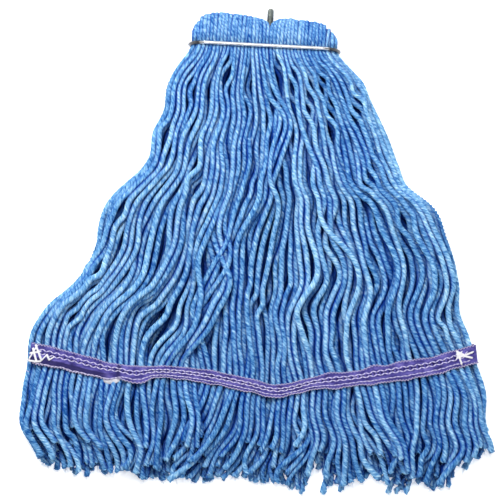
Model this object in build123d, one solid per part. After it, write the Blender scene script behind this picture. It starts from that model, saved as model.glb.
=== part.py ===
"""String mop head, screw type: cut-end yarn folded over a steel crossbar and clamped by a wire loop.

The mop lies flat. The origin is on the stud's axis, where the stud leaves the yarn. +Y runs out
along the stud, +X to the right and +Z up from the surface that the mop lies on. Millimetres.
The yarn turns about two lines across its width: the neck, below the clamp wire, and the hem line,
below the tail band. Each hank is a plain closed solid of the space that its strands fill.
"""
from build123d import *
import os
from math import atan2, cos, degrees, radians, sin

# Stud: a quarter-inch screw, at its major radius where it stands free of the yarn
stud_radius = 3.175
stud_free_length = 10.0
stud_tip_chamfer = 0.8
shank_radius = 2.75
stud_head_radius = 5.5
stud_head_thickness = 2.4

# Crossbar: a flat steel bar that lies in the fold of the yarn
crossbar_end_gap = 9.5
crossbar_width = 9.5
crossbar_thickness = 3.2
crossbar_corner = 3.0
crossbar_depth = 17.0

# Washer and thin nut that hold the stud to the crossbar
washer_radius = 6.5
washer_thickness = 1.4
nut_across_flats = 11.1
nut_height = 4.0
screw_clearance = 0.1

# Clamp wire: a closed loop drawn tight round the yarn, its back run a little lower
wire_radius = 1.5
clamp_width = 127.0
clamp_depth = 23.4
clamp_offset = -3.7
clamp_tilt = 5.0
wire_clearance = 0.2
wire_end_stands_out = 1.75

# Yarn: how thick the lying bundle is, and how it is divided
head_thickness = 36.0
hip_thickness = 31.0
tail_thickness = 26.0
cut_thickness = 22.0
hank_count = 6
inner_clearance = 0.3
flex_clearance = 0.5

# Tail band: a tape sewn across the front and another across the back, sagging in the middle
band_depth = 303.0
band_low_x = 10.0
band_left_rise = 18.0
band_right_rise = 37.0
band_width = 15.0
band_thickness = 0.8
band_to_flex_line = 1.0
stitch_inset = 3.0
stitch_width = 1.0
stitch_gauge = 0.4

# Bar tacks: heavy thread crossed over each end of the tail band
tack_thread_radius = 0.6
tack_length = 13.0
tack_inset = 9.0
tack_drop = 1.8
tack_angles = (20.0, 90.0, 160.0)

# Small cloth tab caught under the front tape
tab_length = 15.0
tab_width = 6.0
tab_thickness = 0.6
tab_x = -116.0

# Dimple in the crown, where the strands part round the stud
dimple_margin = 3.8
dimple_flare = 5.0

# Levels down the mop: distance below the origin, reach to the left, reach to the right
clamp_left = clamp_width / 2 - clamp_offset - wire_end_stands_out
clamp_right = clamp_width / 2 + clamp_offset - wire_end_stands_out
neck_depth = 42.0
hem_line_depth = band_depth + band_width / 2 + band_to_flex_line + flex_clearance + tail_thickness / 2
crown_level = (-3.0, clamp_left - 15.5, clamp_right - 12.0)
shoulder_level = (5.0, clamp_left - 3.5, clamp_right - 7.0)
clamp_level = (clamp_depth - 1.4, clamp_left, clamp_right)
neck_level = (neck_depth, clamp_left + 11.5, clamp_right + 18.0)
throat_level = (neck_depth + head_thickness / 2, clamp_left + 18.5, clamp_right + 29.0)
waist_level = (132.0, 105.0, 124.0)
hip_level = (200.0, 138.0, 166.0)
flare_level = (band_depth - 41.0, 182.0, 181.0)
hem_line_level = (hem_line_depth, 191.0, 195.0)
spread_level = (hem_line_depth + 18.0, 190.0, 201.0)
cut_level = (hem_line_depth + 60.0, 164.0, 170.0)

# What follows from the sizes above
floor_z = -head_thickness / 2
tail_top = floor_z + tail_thickness
neck_y = -neck_depth
neck_radius = head_thickness / 2
crown_y = -crown_level[0]
clamp_y = -clamp_depth
hem_y = -hem_line_depth
hem_radius = tail_thickness / 2
hem_z = floor_z + hem_radius
skirt_top_y = neck_y - neck_radius - flex_clearance
skirt_end_y = hem_y + hem_radius + flex_clearance
crossbar_y = -crossbar_depth
crossbar_length = clamp_width - 2 * crossbar_end_gap
washer_y = crossbar_y + crossbar_thickness / 2
nut_y = washer_y + washer_thickness
band_left_end = (-flare_level[1] - 1.0, band_left_rise - band_depth)
band_low_point = (band_low_x, -band_depth)
band_right_end = (flare_level[2] + 3.0, band_right_rise - band_depth)
dimple_radius = stud_radius + dimple_margin
beyond = 2 * cut_level[0]


def disc_along_y(radius, start_y, end_y):
    """A round bar on the stud's axis, from start_y up to end_y."""
    circle = Plane(origin=(0, start_y, 0), x_dir=(1, 0, 0), z_dir=(0, 1, 0)) * Circle(radius)
    return extrude(circle, end_y - start_y)


def yarn_section(level, thickness):
    """The slot-shaped section of the lying yarn at one level."""
    depth, left, right = level
    centre = ((right - left) / 2, -depth, floor_z + thickness / 2)
    plane = Plane(origin=centre, x_dir=(1, 0, 0), z_dir=(0, 1, 0))
    return plane * SlotOverall(left + right, thickness)


def yarn_envelope(sections):
    """The yarn's outer shape through a list of sections, from the top down."""
    return loft([yarn_section(level, thickness).face() for level, thickness in sections], ruled=True)


def side_prism(points):
    """A prism across the whole width with the given outline in Y and Z."""
    outline = Plane.YZ.offset(-beyond) * make_face(Polyline(*points, close=True))
    return extrude(outline, 2 * beyond)


def across_bar(y, z, radius):
    """A round bar along X across the whole width."""
    circle = Plane.YZ.offset(-beyond) * (Pos(y, z) * Circle(radius))
    return extrude(circle, 2 * beyond)


def hank_edge(share, y):
    """Where the line between two hanks lies at height y: they fan out from the clamp."""
    at_clamp = share * (clamp_level[1] + clamp_level[2]) - clamp_level[1]
    at_hem = share * (hem_line_level[1] + hem_line_level[2]) - hem_line_level[1]
    return at_clamp + (at_hem - at_clamp) * (clamp_y - y) / (clamp_y - hem_y)


def hank_prism(index):
    """The upright wedge that holds hank number index, counted from the left."""
    top_y = crown_y + head_thickness
    low_y = -cut_level[0] - head_thickness
    left_out = beyond if index == 0 else 0
    right_out = beyond if index == hank_count - 1 else 0
    corners = [
        (hank_edge(index / hank_count, top_y) - left_out, top_y),
        (hank_edge(index / hank_count, low_y) - left_out, low_y),
        (hank_edge((index + 1) / hank_count, low_y) + right_out, low_y),
        (hank_edge((index + 1) / hank_count, top_y) + right_out, top_y),
    ]
    wedge = Plane.XY.offset(-beyond) * make_face(Polyline(*corners, close=True))
    return extrude(wedge, 2 * beyond)


def band_strip(offset, width, low_z, high_z):
    """A curved strip that follows the tail band, offset across it, between two heights."""
    middle = ThreePointArc(band_left_end, band_low_point, band_right_end)
    radius = middle.radius + offset
    towards_left = Vector(*band_left_end) - middle.arc_center
    towards_right = Vector(*band_right_end) - middle.arc_center
    start = degrees(atan2(towards_left.Y, towards_left.X))
    turn = towards_left.get_angle(towards_right)
    outer = CenterArc(middle.arc_center, radius + width / 2, start, turn)
    inner = CenterArc(middle.arc_center, radius - width / 2, start, turn)
    sides = [Line(outer @ 0, inner @ 0), Line(outer @ 1, inner @ 1)]
    strip = make_face([outer, inner] + sides)
    return extrude(Pos(0, 0, low_z) * strip, high_z - low_z)


def make_threaded_stud():
    """The screw: a round head under the crossbar, a plain shank and the free end."""
    head_top = crossbar_y - crossbar_thickness / 2
    head = disc_along_y(stud_head_radius, head_top - stud_head_thickness, head_top)
    head = fillet(head.edges().sort_by(Axis.Y)[0], stud_head_thickness / 2)
    shank = disc_along_y(shank_radius, head_top, 0)
    free_end = disc_along_y(stud_radius, 0, stud_free_length)
    free_end = chamfer(free_end.edges().sort_by(Axis.Y)[-1], stud_tip_chamfer)
    return head + shank + free_end


def make_crossbar():
    """The flat bar, with rounded corners and a hole for the stud's shank."""
    plane = Plane(origin=(0, washer_y - crossbar_thickness, 0), x_dir=(1, 0, 0), z_dir=(0, 1, 0))
    outline = RectangleRounded(crossbar_length, crossbar_width, crossbar_corner)
    hole = Circle(shank_radius + screw_clearance)
    return extrude(plane * (Pos(clamp_offset, 0) * outline - hole), crossbar_thickness)


def make_stud_washer():
    """The plain washer between the crossbar and the nut."""
    ring = disc_along_y(washer_radius, washer_y, nut_y)
    return ring - disc_along_y(shank_radius + screw_clearance, washer_y, nut_y)


def make_stud_nut():
    """The thin hexagon nut."""
    plane = Plane(origin=(0, nut_y, 0), x_dir=(1, 0, 0), z_dir=(0, 1, 0))
    hexagon = RegularPolygon(nut_across_flats / 2, 6, major_radius=False)
    return extrude(plane * (hexagon - Circle(shank_radius + screw_clearance)), nut_height)


def wire_loop(section_radius):
    """A round section carried round the clamp's closed loop."""
    bend = head_thickness / 2 - wire_radius
    reach = clamp_width / 2 - wire_radius - bend
    across = Vector(0, sin(radians(clamp_tilt)), cos(radians(clamp_tilt)))
    centre = Vector(clamp_offset, clamp_y, 0)
    plane = Plane(origin=centre, x_dir=(1, 0, 0), z_dir=Vector(1, 0, 0).cross(across * -1))
    front = Line((-reach, bend), (reach, bend))
    right = CenterArc((reach, 0), bend, 90, -180)
    back = Line((reach, -bend), (-reach, -bend))
    left = CenterArc((-reach, 0), bend, 270, -180)
    path = plane * Wire([front, right, back, left])
    start = Plane(origin=path @ 0, x_dir=plane.z_dir, z_dir=path % 0)
    return sweep(start * Circle(section_radius), path=path)


def make_head_hanks():
    """The folded ends of the yarn, from the crown over the crossbar down to the neck line."""
    levels = [crown_level, shoulder_level, clamp_level, neck_level, throat_level]
    envelope = yarn_envelope([(level, head_thickness) for level in levels])
    crown_round = across_bar(crown_y - neck_radius, 0, neck_radius)
    neck_round = across_bar(neck_y, 0, neck_radius)
    middle = side_prism([
        (crown_y - neck_radius, floor_z),
        (crown_y - neck_radius, -floor_z),
        (neck_y, -floor_z),
        (neck_y, floor_z),
    ])
    shape = envelope & (crown_round + middle + neck_round)
    bar_pocket = Pos(clamp_offset, crossbar_y, 0) * Box(
        crossbar_length + 2 * inner_clearance,
        crossbar_thickness + 2 * inner_clearance,
        crossbar_width + 2 * inner_clearance,
    )
    head_y = crossbar_y - crossbar_thickness / 2 - stud_head_thickness - inner_clearance
    pocket_radius = washer_radius + inner_clearance
    nut_pocket = disc_along_y(pocket_radius, head_y, nut_y + nut_height + inner_clearance)
    stud_hole = disc_along_y(stud_radius + inner_clearance, head_y, crown_y)
    dimple_plane = Plane(origin=(0, crown_y, 0), x_dir=(1, 0, 0), z_dir=(0, 1, 0))
    dimple = dimple_plane * Cone(dimple_radius, dimple_radius + dimple_flare, 2 * crown_y)
    shape = shape - bar_pocket - nut_pocket - stud_hole - dimple - wire_loop(wire_radius + wire_clearance)
    return [shape & hank_prism(index) for index in range(hank_count)]


def make_skirt_hanks(tapes):
    """The hanging yarn from the neck to the tail band, as front hanks and back hanks."""
    sections = [
        (throat_level, head_thickness),
        (waist_level, (head_thickness + hip_thickness) / 2),
        (hip_level, hip_thickness),
        (flare_level, tail_thickness),
        (hem_line_level, tail_thickness),
    ]
    ends = side_prism([
        (skirt_top_y, floor_z),
        (skirt_top_y, -floor_z),
        (skirt_end_y, -floor_z),
        (skirt_end_y, floor_z),
    ])
    envelope = yarn_envelope(sections) & ends
    for tape in tapes:
        envelope = envelope - tape
    middle_line = [(-level[0], floor_z + thickness / 2) for level, thickness in sections]
    lower_line = [(middle_line[-1][0], floor_z), (middle_line[0][0], floor_z)]
    lower = side_prism(middle_line + lower_line)
    front = envelope - lower
    back = envelope & lower
    return (
        [front & hank_prism(index) for index in range(hank_count)],
        [back & hank_prism(index) for index in range(hank_count)],
    )


def yarn_section_bar(level, thickness):
    """The yarn's section at one level, carried straight up as far as the rounded end reaches."""
    return extrude(yarn_section(level, thickness).face(), hem_radius)


def make_fringe_hanks():
    """The free ends below the tail band, rounded about the hem line, front and back."""
    sections = [
        (hem_line_level, tail_thickness),
        (spread_level, tail_thickness),
        (cut_level, cut_thickness),
    ]
    hem_bar = across_bar(hem_y, hem_z, hem_radius)
    rounded_end = hem_bar & yarn_section_bar(hem_line_level, tail_thickness)
    shape = yarn_envelope(sections) + rounded_end
    lower = side_prism([
        (skirt_end_y, hem_z),
        (-cut_level[0], hem_z),
        (-cut_level[0], floor_z),
        (skirt_end_y, floor_z),
    ])
    front = shape - lower
    back = shape & lower
    return (
        [front & hank_prism(index) for index in range(hank_count)],
        [back & hank_prism(index) for index in range(hank_count)],
    )


def make_bar_tack(end, inwards):
    """Crossed stitches of heavy thread on the front tape, near one of its ends."""
    low_z = tail_top + stitch_gauge
    centre = Pos(end[0] + inwards * tack_inset, end[1] - tack_drop, low_z)
    rod = Rot(0, 90, 0) * Pos(0, 0, -tack_length / 2) * extrude(Circle(tack_thread_radius), tack_length)
    upper_half = Pos(0, 0, tack_thread_radius) * Box(tack_length, tack_length, 2 * tack_thread_radius)
    threads = [Rot(0, 0, angle) * (rod & upper_half) for angle in tack_angles]
    return centre * (threads[0] + threads[1:])


def make_tab():
    """The cloth tab, lying on the yarn against the front tape's lower edge."""
    tape = band_strip(0, band_width, tail_top - band_thickness, tail_top + tab_thickness)
    middle = ThreePointArc(band_left_end, band_low_point, band_right_end)
    edge_radius = middle.radius + band_width / 2
    edge_x = tab_x - middle.arc_center.X
    edge_y = middle.arc_center.Y - (edge_radius ** 2 - edge_x ** 2) ** 0.5
    tab = Pos(tab_x, edge_y, tail_top + tab_thickness / 2) * Box(tab_length, tab_width, tab_thickness)
    return tab - tape


tape_front = band_strip(0, band_width, tail_top - band_thickness, tail_top)
tape_back = band_strip(0, band_width, floor_z, floor_z + band_thickness)
stitch_offset = band_width / 2 - stitch_inset
front_hanks, back_hanks = make_skirt_hanks([tape_front, tape_back])
front_fringe, back_fringe = make_fringe_hanks()

nodes = {
    "threaded_stud": make_threaded_stud(),
    "crossbar": make_crossbar(),
    "stud_washer": make_stud_washer(),
    "stud_nut": make_stud_nut(),
    "clamp_wire": wire_loop(wire_radius),
    "tail_band_front": tape_front,
    "tail_band_back": tape_back,
    "band_seam_upper": band_strip(-stitch_offset, stitch_width, tail_top, tail_top + stitch_gauge),
    "band_seam_lower": band_strip(stitch_offset, stitch_width, tail_top, tail_top + stitch_gauge),
    "bar_tack_left": make_bar_tack(band_left_end, 1),
    "bar_tack_right": make_bar_tack(band_right_end, -1),
    "band_tab": make_tab(),
}
for number, hank in enumerate(make_head_hanks(), start=1):
    nodes[f"head_hank_{number}"] = hank
for number in range(1, hank_count + 1):
    nodes[f"front_hank_{number}"] = front_hanks[number - 1]
    nodes[f"back_hank_{number}"] = back_hanks[number - 1]
    nodes[f"front_fringe_{number}"] = front_fringe[number - 1]
    nodes[f"back_fringe_{number}"] = back_fringe[number - 1]

os.makedirs("parts", exist_ok=True)
for name, solid in nodes.items():
    export_step(solid, f"parts/{name}.step")
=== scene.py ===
import math

import bpy
import numpy as np
from bpy.props import FloatProperty, FloatVectorProperty, IntProperty, PointerProperty
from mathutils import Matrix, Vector


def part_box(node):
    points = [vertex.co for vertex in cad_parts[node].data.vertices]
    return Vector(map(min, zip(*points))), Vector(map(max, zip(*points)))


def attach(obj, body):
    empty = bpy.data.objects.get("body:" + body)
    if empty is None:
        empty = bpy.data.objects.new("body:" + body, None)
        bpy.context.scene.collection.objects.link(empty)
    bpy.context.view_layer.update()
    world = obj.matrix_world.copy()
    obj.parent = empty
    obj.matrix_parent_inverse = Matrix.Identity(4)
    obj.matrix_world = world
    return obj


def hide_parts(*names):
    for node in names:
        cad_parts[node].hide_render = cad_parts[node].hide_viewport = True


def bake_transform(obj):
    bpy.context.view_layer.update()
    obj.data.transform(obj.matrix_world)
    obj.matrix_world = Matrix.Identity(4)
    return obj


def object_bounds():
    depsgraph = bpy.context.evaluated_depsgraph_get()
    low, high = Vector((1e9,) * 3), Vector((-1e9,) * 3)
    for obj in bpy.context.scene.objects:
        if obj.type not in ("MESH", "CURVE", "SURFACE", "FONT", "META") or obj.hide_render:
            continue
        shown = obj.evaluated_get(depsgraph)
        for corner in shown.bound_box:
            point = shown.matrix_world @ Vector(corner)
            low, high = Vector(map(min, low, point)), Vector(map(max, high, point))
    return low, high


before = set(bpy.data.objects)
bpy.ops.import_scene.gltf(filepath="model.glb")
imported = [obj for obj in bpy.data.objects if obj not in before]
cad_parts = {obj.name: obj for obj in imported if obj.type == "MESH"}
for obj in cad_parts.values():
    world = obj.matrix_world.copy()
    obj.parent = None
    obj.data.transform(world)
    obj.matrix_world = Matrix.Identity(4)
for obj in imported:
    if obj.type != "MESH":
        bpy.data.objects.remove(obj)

bl_info = {
    "name": "Cut-End Wet Mop Head",
    "version": (1, 0, 0),
    "blender": (4, 5, 0),
    "location": "3D View > Sidebar > Mop Head",
    "description": "Lays the yarn of a tail-banded wet mop head and sews, clamps and lights it",
    "category": "Object",
}

# ---------------------------------------------------------------- places taken from the frame

MM = 0.001  # the yarn is laid in millimetres and its meshes are made in metres
CAD_LOW, CAD_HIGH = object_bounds()


def box_mm(node):
    """Lowest and highest corner of a CAD node, in millimetres."""
    return [np.array(corner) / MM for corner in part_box(node)]


FLOOR = CAD_LOW.z / MM
WIRE_RADIUS = 1.5
WIRE_LOW, WIRE_HIGH = box_mm("clamp_wire")
WIRE_FRONT_Y = WIRE_HIGH[1] - WIRE_RADIUS
WIRE_BACK_Y = WIRE_LOW[1] + WIRE_RADIUS
PINCH = WIRE_HIGH[2] - 2 * WIRE_RADIUS  # half height that the wire leaves for the yarn
BAR_LOW, BAR_HIGH = box_mm("crossbar")
BAR_Y = (BAR_LOW[1] + BAR_HIGH[1]) / 2
STUD_LOW, STUD_HIGH = box_mm("threaded_stud")
STUD_RADIUS = 3.175
WASHER_RADIUS = box_mm("stud_washer")[1][0]
TAB_LOW, TAB_HIGH = box_mm("band_tab")
HANKS = 6

# ---------------------------------------------------------------- shape of the yarn, in millimetres
# Depths run from the frame's origin towards the cut ends, reaches from X = 0 outwards.

LEFT_REACH = [
    (22, 65.5), (32, 69.5), (44, 77.5), (60, 84), (78, 85), (100, 94), (132, 104), (141, 113),
    (155, 126), (172, 132.5), (196, 136.5), (216, 145), (230, 156), (244, 172), (262, 183), (300, 188),
    (322, 190.5), (345, 191.5), (362, 180), (390, 177),
]
RIGHT_REACH = [
    (22, 58), (32, 64.5), (44, 77), (60, 86), (92, 103), (116, 113), (134, 124), (146, 142),
    (172, 156), (212, 170), (236, 171), (254, 179), (276, 187), (300, 195.5),
    (324, 199), (345, 206), (362, 198), (390, 190),
]
THICKNESS = [
    (22, 30), (34, 34.5), (60, 37), (100, 37), (132, 34), (200, 29), (262, 26), (303, 23), (330, 24),
    (360, 22), (390, 19),
]
STRAND_SHARE = [  # strand thickness as a share of the free strand's
    (22, 0.69), (42, 0.77), (60, 0.84), (90, 0.92), (120, 0.97), (150, 1.0), (390, 1.0),
]
FOLD_SHARE = 0.80  # the same, over the bar
WIRE_DEPTH = LEFT_REACH[0][0]
PLIES = 4
FRINGE_PAINTED_SHADE = 0.22  # how much darker in tone the cut ends below the band are, as painted shade
CROWN = [  # top of the fold: X, Y
    (-66, -15), (-62.5, -6), (-57, 0), (-50, 3.5), (-41, 5), (-31, 4.3), (-20, 3.5), (-11, 2.2), (-4, 1.4),
    (0, 0.4), (4, 1.6), (10, 2.4), (20, 2.3), (32, 1.7), (41, 0.4), (48, -2.8), (53, -8), (58, -19),
]
CUT = [  # X, depth at which the lowest strands are cut
    (-200, 346), (-186, 347), (-180, 358), (-174, 376), (-166, 380), (-150, 382), (-130, 386), (-96, 381),
    (-78, 388), (-60, 384), (-38, 388), (-14, 384), (8, 389), (16, 389), (30, 384), (50, 387), (59, 364),
    (68, 387), (84, 385), (96, 380), (110, 376), (132, 387), (148, 379), (162, 384), (176, 369),
    (187, 357), (194, 347), (203, 345),
]
# Tresses of top strands that wander from the even fan:
# share across from the left, depth, half width as a share, half length, shift to the right
SWEEPS = [
    (0.475, 88, 0.035, 36, 16), (0.47, 192, 0.040, 46, -20),
    (0.268, 152, 0.035, 26, 9), (0.30, 250, 0.050, 34, 30),
    (0.404, 208, 0.035, 32, -17),
    (0.200, 262, 0.030, 34, -5),
    (0.724, 155, 0.030, 34, -15), (0.74, 225, 0.020, 24, 4),
    (0.636, 170, 0.025, 22, -9), (0.636, 232, 0.028, 20, -11),
    (0.546, 205, 0.025, 24, -8), (0.546, 270, 0.020, 18, 7),
    (0.80, 205, 0.035, 34, 12), (0.90, 195, 0.030, 25, 9),
    (0.13, 215, 0.03, 26, 6), (0.335, 118, 0.025, 24, -6),
    (0.44, 390, 0.055, 50, -54), (0.33, 334, 0.035, 24, 14), (0.30, 372, 0.035, 26, -14),
    (0.74, 394, 0.050, 48, 48), (0.62, 372, 0.03, 24, -10), (0.54, 380, 0.02, 26, -20),
    (0.13, 366, 0.03, 26, 8), (0.86, 352, 0.03, 22, -9), (0.20, 330, 0.03, 20, -6),
]
# Gaps between tresses: X, depth, half width, half length, push to each side
GAPS = [
    (66, 197, 10, 17, 9), (-88, 256, 9, 26, 6), (-54, 130, 7, 19, 6), (23, 93, 7, 22, 7),
    (95, 205, 6, 26, 5), (145, 205, 6, 14, 5), (-28, 172, 6, 16, 4.5), (8, 245, 6, 22, 5),
    (-118, 168, 6, 14, 5), (88, 128, 5, 20, 4), (-15, 54, 5, 22, 6), (-33, 50, 5, 20, 6),
    (8, 50, 5, 20, 6), (36, 72, 5, 24, 5), (54, 88, 5, 24, 5), (74, 64, 5, 16, 5), (-62, 66, 5, 16, 5),
    (-48, 72, 4, 20, 4), (22, 56, 4, 16, 4.5), (46, 48, 4, 14, 4), (-2, 84, 4, 18, 4.5),
    (-100, 335, 5, 18, 4), (40, 335, 6, 24, 5), (-132, 215, 5, 20, 4.5), (45, 255, 5, 18, 4.5),
    (120, 165, 5, 22, 4), (-82, 105, 5, 22, 4), (28, 205, 4, 24, 3.5), (-46, 250, 6, 16, 5),
    (70, 268, 5, 12, 4.5), (118, 262, 4, 12, 4), (-150, 255, 4, 16, 4), (-8, 130, 4, 18, 3.5),
    (160, 240, 4, 14, 4), (90, 340, 5, 20, 4), (-30, 340, 6, 16, 5), (150, 350, 5, 18, 4),
    (-150, 340, 4, 20, 4),
]
# Tail band: X, Y of its middle, half width as it shows
TAPE_LINE = [
    (-184, -284.5, 8.6), (-150, -290.5, 8), (-118, -296.5, 7), (-108, -297, 6.2), (-97, -298.6, 7.4),
    (-82, -295.8, 5.4), (-42, -296.6, 5.6), (-4, -302, 5.6), (21, -306, 5.4), (53, -297.6, 5.4),
    (66, -295.3, 6.8), (81, -293, 6.4), (118, -285.2, 8), (145, -279.4, 7.6), (185, -266.3, 7.6),
]
TAPE_TOP = 6.2  # height of the tape's upper face, where it presses the yarn down
TAPE_WIDTH = 15.0
CREASE_X = -110  # where the front tape is creased across
BAND_DEPTH = 297  # about the tape's depth, where a leg's place under it is read


def flowing(points, at, column=1):
    """A smooth curve through the points (place, value), read at the given places."""
    table = np.array(points, float)
    place, value = table[:, 0], table[:, column]
    slope = np.gradient(value, place)
    at = np.clip(at, place[0], place[-1])
    span = np.clip(np.searchsorted(place, at, side="right") - 1, 0, len(place) - 2)
    run = place[span + 1] - place[span]
    t = (at - place[span]) / run
    start = (2 * t**3 - 3 * t**2 + 1) * value[span] + (t**3 - 2 * t**2 + t) * run * slope[span]
    end = (3 * t**2 - 2 * t**3) * value[span + 1] + (t**3 - t**2) * run * slope[span + 1]
    return start + end


def eased(t):
    """Runs smoothly from 0 to 1 while t does."""
    t = np.clip(t, 0, 1)
    return t * t * (3 - 2 * t)


def wave(rng, length, steps):
    """A slow random wave along the strands, about 1 high, with ripples near the given length."""
    total = 0
    for share in (0.8, 1.25, 2.1):
        turn = 2 * math.pi * steps / (length * share)
        total = total + np.sin(turn + rng.uniform(0, 2 * math.pi)) * rng.uniform(0.5, 1)
    return total / 2


def smoothed(values, rounds):
    """The values, averaged with their neighbours along the first axis."""
    for _ in range(rounds):
        values[1:-1] = (values[:-2] + 2 * values[1:-1] + values[2:]) / 4
    return values


# ---------------------------------------------------------------- settings


def size_setting(name, description, default, low=0.0, high=10.0):
    """A length in metres that a user can change."""
    return FloatProperty(name=name, description=description, default=default, min=low, max=high,
                         unit="LENGTH")


def colour_setting(name, description, default):
    return FloatVectorProperty(name=name, description=description, default=default, min=0, max=1,
                               subtype="COLOR")


class YarnSettings(bpy.types.PropertyGroup):
    """Size, twist and colour of the yarn"""

    strand: size_setting("Strand", "Thickness of a free strand", 0.0049, 0.003, 0.008)
    lay: size_setting("Lay", "Length of one turn of the plies", 0.015, 0.008, 0.03)
    columns: IntProperty(
        name="Columns", description="Folded strands side by side on the bar", default=37, min=12, max=44)
    depths: IntProperty(
        name="Depths", description="Folded strands on top of each other on the bar", default=5, min=3, max=6)
    groove: FloatProperty(
        name="Groove", description="Depth of the grooves between plies, as a share of the radius",
        default=0.16, min=0, max=0.5, subtype="FACTOR")
    seed: IntProperty(name="Seed", description="Picks how the strands happen to lie", default=11, min=0)
    # Crest is the paler colour that the ply crests get as painted highlight, and Shade is the colour of the
    # painted shade between and under strands.
    crest: colour_setting("Crest", "Dye on the outside of the plies", (0.26, 0.50, 0.73))
    body: colour_setting("Body", "Dye of most of the yarn", (0.085, 0.265, 0.55))
    shade: colour_setting("Shade", "Dye deep between the strands", (0.0, 0.028, 0.30))


class BandSettings(bpy.types.PropertyGroup):
    """Size and colour of the sewn tail band"""

    thickness: size_setting("Thickness", "Thickness of the tape", 0.0008, 0.0003, 0.002)
    stitch: size_setting("Stitch", "Length of one stitch with its gap", 0.0031, 0.0015, 0.006)
    thread: size_setting("Thread", "Thickness of the seam thread", 0.0010, 0.0002, 0.0015)
    tape_colour: colour_setting("Tape", "Dye of the tape", (0.060, 0.050, 0.245))
    thread_colour: colour_setting("Seam Thread", "Colour of the seam thread", (0.72, 0.66, 0.95))
    tack_colour: colour_setting("Tack Thread", "Colour of the tacks and the tab", (0.93, 0.92, 0.95))


class MetalSettings(bpy.types.PropertyGroup):
    """Thread and finish of the metal pieces"""

    pitch: size_setting("Pitch", "Rise of the screw thread in one turn", 0.0254 / 20, 0.0005, 0.003)
    zinc: colour_setting("Zinc", "Colour of the galvanised wire", (0.80, 0.81, 0.83))
    steel: colour_setting("Steel", "Colour of the stud", (0.36, 0.39, 0.36))


class StageSettings(bpy.types.PropertyGroup):
    """Camera, floor and lights"""

    view_width: size_setting("View Width", "Width that the camera takes in", 0.4125)
    camera_height: size_setting("Camera Height", "Height of the camera over the mop", 2.2)
    turn: FloatProperty(
        name="Turn", description="How far the camera is turned about the vertical",
        default=math.radians(3), subtype="ANGLE")
    centre: FloatVectorProperty(
        name="Centre", description="Point that the camera looks at", size=2,
        default=(-0.0068, -0.1908), unit="LENGTH")


# ---------------------------------------------------------------- shader maths


class Signal:
    """A socket of a shader node, which takes part in Python sums."""

    def __init__(self, finish, socket):
        self.finish = finish
        self.socket = socket

    def _maths(self, operation, *values, clamp=False):
        settings = {"operation": operation, "use_clamp": clamp}
        return self.finish.node("ShaderNodeMath", settings, dict(enumerate(values)))[0]

    def __add__(self, other):
        return self._maths("ADD", self, other)

    def __mul__(self, other):
        return self._maths("MULTIPLY", self, other)

    def __sub__(self, other):
        return self._maths("SUBTRACT", self, other)

    def __rsub__(self, other):
        return self._maths("SUBTRACT", other, self)

    def __truediv__(self, other):
        return self._maths("DIVIDE", self, other)

    __radd__ = __add__
    __rmul__ = __mul__

    def sine(self):
        return self._maths("SINE", self)

    def size(self):
        return self._maths("ABSOLUTE", self)

    def fraction(self):
        return self._maths("FRACT", self)

    def clamped(self):
        return self._maths("ADD", self, 0.0, clamp=True)

    def between(self, low, high, start=0.0, end=1.0):
        """Runs smoothly from start to end while the signal runs from low to high."""
        settings = {"interpolation_type": "SMOOTHSTEP"}
        values = {0: self, 1: low, 2: high, 3: start, 4: end}
        return self.finish.node("ShaderNodeMapRange", settings, values)[0]


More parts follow.
